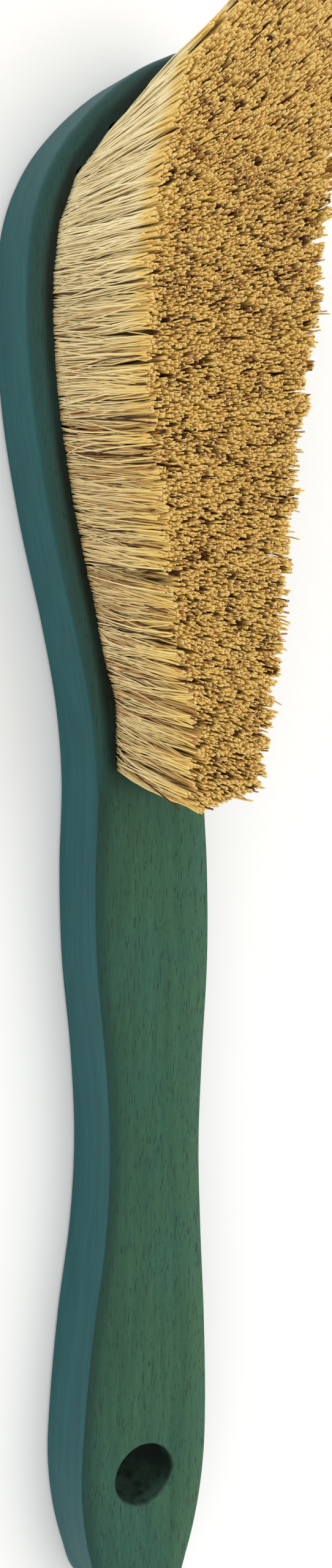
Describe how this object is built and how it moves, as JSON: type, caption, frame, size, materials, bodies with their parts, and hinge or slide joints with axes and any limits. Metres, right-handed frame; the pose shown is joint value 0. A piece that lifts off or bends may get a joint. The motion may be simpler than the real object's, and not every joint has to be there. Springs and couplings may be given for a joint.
{
  "type": "climbing hold brush",
  "caption": "Long wooden brush for cleaning climbing holds: waisted flat grip with a hang hole, broad swept head, dense drilled tufts of natural bristle.",
  "frame": {"origin": "bottom centre of the whole brush's box, lying on its flat back", "axes": "+X along the handle from the tail to the toe of the head, +Y to the side on which the head bulges, +Z square to the faces, the way the bristles point"},
  "size_m": [0.2482, 0.038, 0.0364],
  "materials": {
    "stained_beech": "teal green stain on beech, grain showing, satin",
    "boar_bristle": "natural hair, pale along the sides, golden at the trimmed tips"
  },
  "bodies": {
    "root": {"handle": "stained_beech", "tuft_01": "boar_bristle", "tuft_02": "boar_bristle", "tuft_03": "boar_bristle", "tuft_04": "boar_bristle", "tuft_05": "boar_bristle", "tuft_06": "boar_bristle", "tuft_07": "boar_bristle", "tuft_08": "boar_bristle", "tuft_09": "boar_bristle", "tuft_10": "boar_bristle", "tuft_11": "boar_bristle", "tuft_12": "boar_bristle", "tuft_13": "boar_bristle", "tuft_14": "boar_bristle", "tuft_15": "boar_bristle", "tuft_16": "boar_bristle", "tuft_17": "boar_bristle", "tuft_18": "boar_bristle", "tuft_19": "boar_bristle", "tuft_20": "boar_bristle", "tuft_21": "boar_bristle", "tuft_22": "boar_bristle", "tuft_23": "boar_bristle", "tuft_24": "boar_bristle", "tuft_25": "boar_bristle", "tuft_26": "boar_bristle", "tuft_27": "boar_bristle", "tuft_28": "boar_bristle", "tuft_29": "boar_bristle", "tuft_30": "boar_bristle", "tuft_31": "boar_bristle", "tuft_32": "boar_bristle", "tuft_33": "boar_bristle", "tuft_34": "boar_bristle", "tuft_35": "boar_bristle", "tuft_36": "boar_bristle", "tuft_37": "boar_bristle", "tuft_38": "boar_bristle", "tuft_39": "boar_bristle", "tuft_40": "boar_bristle", "tuft_41": "boar_bristle", "tuft_42": "boar_bristle", "tuft_43": "boar_bristle", "tuft_44": "boar_bristle", "tuft_45": "boar_bristle", "tuft_46": "boar_bristle", "tuft_47": "boar_bristle", "tuft_48": "boar_bristle", "tuft_49": "boar_bristle", "tuft_50": "boar_bristle", "tuft_51": "boar_bristle", "tuft_52": "boar_bristle", "tuft_53": "boar_bristle", "tuft_54": "boar_bristle", "tuft_55": "boar_bristle", "tuft_56": "boar_bristle", "tuft_57": "boar_bristle", "tuft_58": "boar_bristle"}
  },
  "joints": []
}
